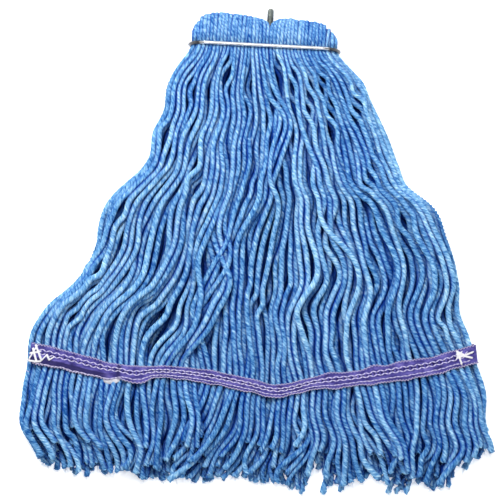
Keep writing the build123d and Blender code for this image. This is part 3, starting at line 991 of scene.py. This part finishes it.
def make_yarn(yarn):
    """Makes the strands, in six pieces for the front, six for the back and twelve for the cut ends."""
    lay = YarnLay(yarn)
    rng = np.random.default_rng(yarn.seed + 1)
    pieces = {}
    for leg, column, depth, fold, levels, closeness in leg_lines(lay):
        where = f"{'front' if lay.row[leg] < lay.depths else 'back'}_{1 + column * HANKS // lay.columns}"
        above = pieces.setdefault(f"yarn_{where}", MeshParts())
        below = pieces.setdefault(f"fringe_{where}", MeshParts())
        whole = np.vstack([fold, levels])
        # Painted shade over the bar: outer strands are marked a little buried, inner ones more except near
        # the fold's ends, and all as creased.
        off_end = np.clip((abs(column - (lay.columns - 1) / 2) - 13) / 2, 0, 1)
        in_fold = 0.7 * (1 - off_end) if depth else 0.16
        marks = np.vstack([np.tile([in_fold, 0.8, 0.8], (len(fold), 1)), closeness])
        at_band = np.interp(BAND_DEPTH, lay.depth_y, lay.x[:, leg])
        band_depth = -float(flowing(TAPE_LINE, at_band))
        fine = depth < lay.depths - 1
        step, sides = (1.6, 12) if fine else (3.2, 8)
        tone = float(rng.uniform(0, 1))
        twist = {"start_angle": rng.uniform(0, 2 * math.pi),
                 "turns_per_mm": MM / yarn.lay * rng.uniform(0.8, 1.3)}
        shape = step, lay.girth[leg] * lay.strand / 2, sides, yarn.groove, tone
        top_line, top_marks = cut_line(levels, closeness, band_depth)
        top = np.vstack([fold, top_line]), np.vstack([marks[:len(fold)], top_marks])
        add_strand(above, rng, *top, *shape, False, **twist)
        tail = rest_of_line(*cut_line(whole, marks, lay.cut[leg]), band_depth)
        tip = add_strand(below, rng, *tail, *shape, True, **twist)
        if fine:
            heading = tip[-2] - tip[-4]
            heading /= np.linalg.norm(heading)
            add_fibres(below, rng, tip[-2], heading, tone)
    material = yarn_finish(yarn)
    for name, parts in pieces.items():
        kind, side, hank = name.split("_")
        piece = parts.make(name, material, "strand")
        if kind == "yarn":
            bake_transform(piece)
            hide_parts(f"{side}_hank_{hank}")
            if side == "front":
                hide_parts(f"head_hank_{hank}")
        else:
            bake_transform(piece)
            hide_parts(f"{side}_fringe_{hank}")


# ---------------------------------------------------------------- tail band

# rows of each seam: share across left and right of the crease, zigzag, thickness
SEAM_ROWS = {
    "upper": [((0.46, 0.38), 0.16, 1.0), ((0.08, -0.02), -0.16, 1.0)],
    "lower": [((-0.86, -0.54), 0.06, 0.85)],
}
# strokes of the tacks at the ends of the tape: from and to, in millimetres along from the middle
# of the tack's node, and as a share across
TACK_STROKES = {
    "left": [
        ((-10, -0.80), (-5.5, 0.78)), ((-7, 0.85), (1, -0.55)), ((-10, -0.10), (-1.5, 0.30)),
        ((-9.5, -0.88), (0.5, -0.62)), ((-8.5, 0.45), (-3, -0.75)), ((1, -0.5), (4, 0.12)),
        ((4, 0.12), (7, -0.32)), ((7, -0.32), (10, 0.05)),
    ],
    "right": [
        ((-5, 0.9), (-4, -0.7)), ((-6, 0.55), (6, -0.35)), ((-7, 0.1), (8, 0.25)),
        ((-5, 0.8), (2, -0.1)), ((-6, 0.3), (-1, 0.62)),
    ],
}


class TapePath:
    """The course of a tape: a point for each place along and across it."""

    END_CURVE = 9  # length over which the ends curve towards the yarn

    def __init__(self, front):
        self.front = front
        self.low_x, self.high_x = TAPE_LINE[0][0], TAPE_LINE[-1][0]
        self.xs = np.linspace(self.low_x, self.high_x, 600)
        self.length = distances(np.stack([self.xs, flowing(TAPE_LINE, self.xs)], axis=1))
        self.total = self.length[-1]

    def point(self, along, across):
        """along in millimetres from the left end, across from -1 at the lower edge to 1 at the upper."""
        x = np.interp(along, self.length, self.xs)
        y = flowing(TAPE_LINE, x)
        slope = flowing(TAPE_LINE, x + 0.5) - flowing(TAPE_LINE, x - 0.5)
        half = flowing(TAPE_LINE, x, 2) if self.front else TAPE_WIDTH / 2
        flatness = np.clip(np.abs(x - 105) / 50, 0, 1)
        ruffle = np.sin(x / 3.1) * 0.35 + np.sin(x / 5.3 + 1.7) * 0.45
        upper = (0.55 + 1.6 * (1 - flatness)) * ruffle * np.clip(across, 0, 1) ** 2
        lower = (np.sin(x / 4.3 + 0.6) + 0.7 * np.sin(x / 2.3)) * 0.45 * np.clip(-across, 0, 1) ** 2
        off = (across * half + upper + lower) / np.sqrt(1 + slope**2)
        to_end = np.minimum(x - self.low_x, self.high_x - x)
        end = eased(1 - to_end / self.END_CURVE)
        if self.front:
            bow = 0.42 * (1 - across**2)
            lift = np.sin(x / 6.1 + 2.0 * across) * 0.3 + np.sin(x / 17.0) * 0.4 + 0.6
            crease = -0.9 * np.exp(-(((x - CREASE_X - 2.5 * across) / 2.2) ** 2))
            z = TAPE_TOP + bow + lift + crease - 1.5 * end
        else:
            z = FLOOR + 0.8 + 4.0 * end
        return np.stack([x - off * slope, y + off, z], axis=-1)


def ribbon_rings(face, thickness):
    """Rings round a flat piece, from the points (n, m, 3) of its upper face."""
    under = face - np.array([0, 0, thickness])
    return np.concatenate([face, under[:, ::-1]], axis=1)


def add_tape(parts, path, thickness):
    """The tape itself, a closed ribbon."""
    along, across = np.linspace(0, path.total, 380), np.linspace(-1, 1, 15)
    face = path.point(*np.meshgrid(along, across, indexing="ij"))
    place_across = np.concatenate([across, across[::-1], across[:1]]) * TAPE_WIDTH / 2
    parts.add_rings(ribbon_rings(face, thickness), along[:, None], place_across, turned=True)


def add_stitches(parts, path, row, pitch, radius, zigzag=0.0, lift=0.55):
    """A row of single stitches that dip into the tape at both ends; it lies elsewhere left of the crease."""
    margin, crease_along = 4.0, 70
    t = np.linspace(0, 1, 7)
    rise = np.sin(math.pi * t)
    for i in range(int((path.total - 2 * margin) / pitch)):
        begin = margin + i * pitch
        across = row[0] + (row[1] - row[0]) * eased((begin - crease_along) / 12)
        side = across + zigzag * (t - 0.5) * (1 if i % 2 else -1)
        line = path.point(begin + pitch * 0.84 * t, side)
        line[:, 2] += lift * rise**0.6 - radius * 0.7 if path.front else -0.35 - 0.25 * rise
        add_thread(parts, line, radius * (0.75 + 0.25 * rise))


def add_edging(parts, path, across, radius, pitch=2.6):
    """Overlock thread that winds in waves along an edge."""
    along = np.linspace(0.3, path.total - 0.3, int(path.total / pitch * 8))
    turn = 2 * math.pi * along / pitch
    edge, inward = (path.point(along, np.full(len(along), across * share)) for share in (1.0, 0.86))
    line = edge + (inward - edge) * (0.5 + 0.5 * np.sin(turn))[:, None]
    line[:, 2] += 0.10 + 0.28 * np.cos(turn) if path.front else -0.3
    add_thread(parts, line, radius)


def add_loose_end(parts, path):
    """The seam thread's end, which loops out of the tape's lower left corner."""
    low_x, low_y, _ = path.point(np.array(0.6), np.array(-0.8))
    t = np.linspace(0, 1, 15)
    x = low_x - 6.5 * np.sin(math.pi * t) ** 0.8
    y = low_y - 10.5 * t
    z = TAPE_TOP - 0.4 - 9.0 * np.sin(math.pi * t * 0.62)
    add_thread(parts, np.stack([x, y, z], axis=1), 0.28)


def make_band(band):
    """Both tapes with their edges and the seams through them."""
    tape, thread = tape_finish(band), thread_finish("seam_lilac", band.thread_colour)
    overlock = thread_finish("edge_lilac", scaled(band.thread_colour, 0.72))
    paths = {side: TapePath(side == "front") for side in ("front", "back")}
    for side, path in paths.items():
        ribbon, edging = MeshParts(), MeshParts()
        add_tape(ribbon, path, band.thickness / MM)
        add_edging(edging, path, 1.0, 0.30)
        add_edging(edging, path, -1.0, 0.34)
        piece = ribbon.make(f"tail_tape_{side}", tape, "tape")
        border = edging.make(f"tape_edging_{side}", overlock, "strand")
        settle(piece, "skirt", "band_tape", f"tail_band_{side}")
        settle(border, "skirt", "seam_thread")
    pitch, radius = band.stitch / MM, band.thread / MM / 2
    for name, rows in SEAM_ROWS.items():
        seam = MeshParts()
        for row, zigzag, share in rows:
            add_stitches(seam, paths["front"], row, pitch, radius * share, zigzag)
        add_stitches(seam, paths["back"], rows[0][0], pitch, radius * 0.6)
        if name == "lower":
            add_loose_end(seam, paths["front"])
        settle(seam.make(f"seam_{name}", thread, "strand"), "skirt", "seam_thread", f"band_seam_{name}")


def make_tacks(band):
    """Heavy crossed stitches that close the ends of the tape, each stroke sewn twice."""
    material = thread_finish("tack_white", band.tack_colour)
    path = TapePath(True)
    t = np.linspace(0, 1, 15)
    for side, strokes in TACK_STROKES.items():
        low, high = box_mm(f"bar_tack_{side}")
        middle = np.interp((low[0] + high[0]) / 2, path.xs, path.length)
        parts = MeshParts()
        for (from_along, from_across), (to_along, to_across) in strokes:
            for beside in (-0.42, 0.42):
                along = middle + from_along + (to_along - from_along) * t + beside * 0.6
                across = from_across + (to_across - from_across) * t + beside * 0.09
                line = path.point(np.clip(along, 0.3, path.total - 0.3), across)
                line[:, 2] += 0.9 * np.sin(math.pi * t) ** 0.4 - 0.25
                add_thread(parts, line, 0.5, 8)
        settle(parts.make(f"tack_{side}", material, "strand"), "skirt", "seam_thread", f"bar_tack_{side}")


def make_tab():
    """Small cloth tab, sewn in under the tape, with its lower edge bowed."""
    columns, rows, thickness = 30, 9, 0.6
    s, t = np.meshgrid(np.linspace(0, 1, columns), np.linspace(0, 1, rows), indexing="ij")
    x = TAB_LOW[0] + (TAB_HIGH[0] - TAB_LOW[0]) * s
    top = flowing(TAPE_LINE, x) - flowing(TAPE_LINE, x, 2) + 2.0
    hang = 2.2 + 4.0 * np.sqrt(np.clip(1 - (2 * s - 1) ** 2, 0, 1))
    swell = np.sin(math.pi * t) * (0.4 + 0.6 * np.sin(math.pi * s))
    z = TAPE_TOP - 1.3 + swell + 0.15 * np.sin(9 * s)
    parts = MeshParts()
    rings = ribbon_rings(np.stack([x, top - hang * t, z], axis=-1), thickness)
    parts.add_rings(rings, x[:, :1], np.arange(2 * rows + 1) * 0.7)
    piece = parts.make("cloth_tab", cloth_finish(), "tape")
    settle(piece, "skirt", "tab_cloth", "band_tab")
    width, drop = (TAB_HIGH[0] - TAB_LOW[0]) * MM, 0.010
    0.75 * width * drop


# ---------------------------------------------------------------- metal


def make_stud(metal):
    """Stud with a real screw thread, a rounded tip and a flat round head under the bar."""
    sides, tip, rings_per_turn = 48, 1.6, 10
    head_radius, head_height, shank = 5.5, 2.4, 2.75
    low_y, high_y, thread_start = STUD_LOW[1], STUD_HIGH[1], BAR_HIGH[1]
    pitch = metal.pitch / MM
    minor = STUD_RADIUS - 0.61 * pitch
    turn = 2 * math.pi * np.arange(sides) / sides
    profile = [
        (0.0, low_y), (head_radius - 1.2, low_y), (head_radius - 0.3, low_y + 0.35),
        (head_radius, low_y + 1.0), (head_radius, low_y + head_height), (shank, low_y + head_height),
        (shank, thread_start),
    ]
    for y in np.arange(thread_start, high_y - tip, pitch / rings_per_turn):
        phase = (y / pitch - turn / (2 * math.pi)) % 1.0
        ridge = np.clip(1.25 - 2.5 * np.abs(phase - 0.5) * 1.15, 0, 1)
        profile.append((minor + (STUD_RADIUS - minor) * ridge, y))
    for t in np.linspace(0, 1, 9) * math.pi / 2:
        profile.append((minor * math.cos(t * 0.98), high_y - tip + tip * math.sin(t)))
    rings = np.array([
        np.stack([radius * np.cos(turn), np.full(sides, y), radius * np.sin(turn)], axis=1)
        for radius, y in profile
    ])
    parts = MeshParts()
    parts.add_rings(rings, np.arange(sides + 1) * 0.5, np.arange(len(rings))[:, None] * 0.5, capped=False)
    piece = parts.make("stud", steel_finish("stud_steel", metal.steel, 0.42, 0.0082), "strand")
    settle(piece, "head", "screw_steel", "threaded_stud")


def finish_metal(metal):
    """Gives the CAD nodes that stay as they are their finish."""
    bright = steel_finish("zinc_steel", (0.62, 0.63, 0.62), 0.35)
    finishes = {
        "clamp_wire": zinc_finish(metal.zinc),
        "crossbar": steel_finish("bar_black", (0.16, 0.16, 0.17), 0.55),
        "stud_washer": bright,
        "stud_nut": bright,
    }
    for node, material in finishes.items():
        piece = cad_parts[node]
        if not piece.material_slots:
            piece.data.materials.append(material)
        for place in piece.material_slots:
            place.material = material


# ---------------------------------------------------------------- stage


def make_floor():
    """A wide pale floor with a round wall behind it, for low views."""
    white = Finish("stage_white", 0.9, **{
        "Base Color": (0.93, 0.93, 0.93), "Emission Color": (1.0, 1.0, 1.0), "Emission Strength": 0.55,
    })
    half, z = 12.0, CAD_LOW.z - 0.0001
    corners = [(-half, -half, z), (half, -half, z), (half, half, z), (-half, half, z)]
    sides, radius, height = 48, 11.5, 4.5
    turn = 2 * math.pi * np.arange(sides) / sides
    wall = [
        (radius * math.cos(a), radius * math.sin(a), level) for level in (z - 0.01, z + height - 0.01)
        for a in turn
    ]
    shapes = {
        "stage_floor": (corners, [(0, 1, 2, 3)]),
        "stage_backdrop": (wall, ring_quads(2, sides)[0].tolist()),
    }
    for name, (points, faces) in shapes.items():
        mesh = bpy.data.meshes.new(name)
        mesh.from_pydata(points, [], faces)
        mesh.materials.append(white.material)
        add_object(name, mesh)


def add_lamp(name, place, target, size, power):
    light = bpy.data.lights.new(name, "AREA")
    light.shape = "DISK"
    light.size = size
    light.energy = power
    lamp = add_object(name, light)
    lamp.location = place
    lamp.rotation_euler = (Vector(target) - Vector(place)).to_track_quat("-Z", "Y").to_euler()


def make_camera(stage):
    yarn_top = 0.010
    data = bpy.data.cameras.new("camera")
    data.sensor_width = 36.0
    data.lens = data.sensor_width * (stage.camera_height - yarn_top) / stage.view_width
    data.clip_end = 20.0
    camera = add_object("camera", data)
    camera.location = (*stage.centre, stage.camera_height)
    camera.rotation_euler = (0, 0, stage.turn)
    bpy.context.scene.camera = camera


def make_stage(stage):
    make_floor()
    make_camera(stage)
    centre = (*stage.centre, 0.0)
    add_lamp("key", (-0.36, 0.46, 1.05), centre, 0.45, 17)
    add_lamp("overhead", (0.22, 0.15, 1.3), centre, 0.7, 7)
    world = bpy.data.worlds.new("studio")
    world.use_nodes = True
    sky = world.node_tree.nodes["Background"].inputs
    sky["Color"].default_value = (0.95, 0.97, 1.0, 1.0)
    sky["Strength"].default_value = 0.28
    bpy.context.scene.world = world
    bpy.context.scene.view_settings.view_transform = "Standard"


# ---------------------------------------------------------------- operators


class MOP_OT_yarn(bpy.types.Operator):
    """Lay the strands over the bar, through the wire and under the tape"""

    bl_idname = "mop.yarn"
    bl_label = "Lay Yarn"

    def execute(self, context):
        make_yarn(context.scene.mop_yarn)
        return {"FINISHED"}


class MOP_OT_band(bpy.types.Operator):
    """Sew the two tapes through the tail of the yarn"""

    bl_idname = "mop.band"
    bl_label = "Sew Tail Band"

    def execute(self, context):
        make_band(context.scene.mop_band)
        return {"FINISHED"}


class MOP_OT_tacks(bpy.types.Operator):
    """Tack the ends of the tape with heavy white thread"""

    bl_idname = "mop.tacks"
    bl_label = "Tack Band Ends"

    def execute(self, context):
        make_tacks(context.scene.mop_band)
        return {"FINISHED"}


class MOP_OT_tab(bpy.types.Operator):
    """Hang the small cloth tab under the tape"""

    bl_idname = "mop.tab"
    bl_label = "Hang Tab"

    def execute(self, context):
        make_tab()
        return {"FINISHED"}


class MOP_OT_stud(bpy.types.Operator):
    """Cut the stud's screw thread"""

    bl_idname = "mop.stud"
    bl_label = "Cut Stud"

    def execute(self, context):
        make_stud(context.scene.mop_metal)
        return {"FINISHED"}


class MOP_OT_metal(bpy.types.Operator):
    """Finish the wire, the bar, the washer and the nut"""

    bl_idname = "mop.metal"
    bl_label = "Finish Metal"

    def execute(self, context):
        finish_metal(context.scene.mop_metal)
        return {"FINISHED"}


class MOP_OT_stage(bpy.types.Operator):
    """Set the floor, the lights and the camera"""

    bl_idname = "mop.stage"
    bl_label = "Set Stage"

    def execute(self, context):
        make_stage(context.scene.mop_stage)
        return {"FINISHED"}


class MOP_PT_panel(bpy.types.Panel):
    """Lists the steps that make the mop head"""

    bl_label = "Mop Head"
    bl_idname = "MOP_PT_panel"
    bl_space_type = "VIEW_3D"
    bl_region_type = "UI"
    bl_category = "Mop Head"

    def draw(self, context):
        for step in OPERATORS:
            self.layout.operator(step.bl_idname)


SETTINGS = {
    "mop_yarn": YarnSettings,
    "mop_band": BandSettings,
    "mop_metal": MetalSettings,
    "mop_stage": StageSettings,
}
OPERATORS = (
    MOP_OT_stage, MOP_OT_yarn, MOP_OT_band, MOP_OT_tacks, MOP_OT_tab, MOP_OT_stud, MOP_OT_metal,
)


def register():
    for kind in (*SETTINGS.values(), *OPERATORS, MOP_PT_panel):
        bpy.utils.register_class(kind)
    for name, kind in SETTINGS.items():
        setattr(bpy.types.Scene, name, PointerProperty(type=kind))


def unregister():
    for name in SETTINGS:
        delattr(bpy.types.Scene, name)
    for kind in (MOP_PT_panel, *reversed(OPERATORS), *reversed(SETTINGS.values())):
        bpy.utils.unregister_class(kind)


def main():
    register()
    for step in OPERATORS:
        group, name = step.bl_idname.split(".")
        getattr(getattr(bpy.ops, group), name)()


if __name__ == "__main__":
    main()
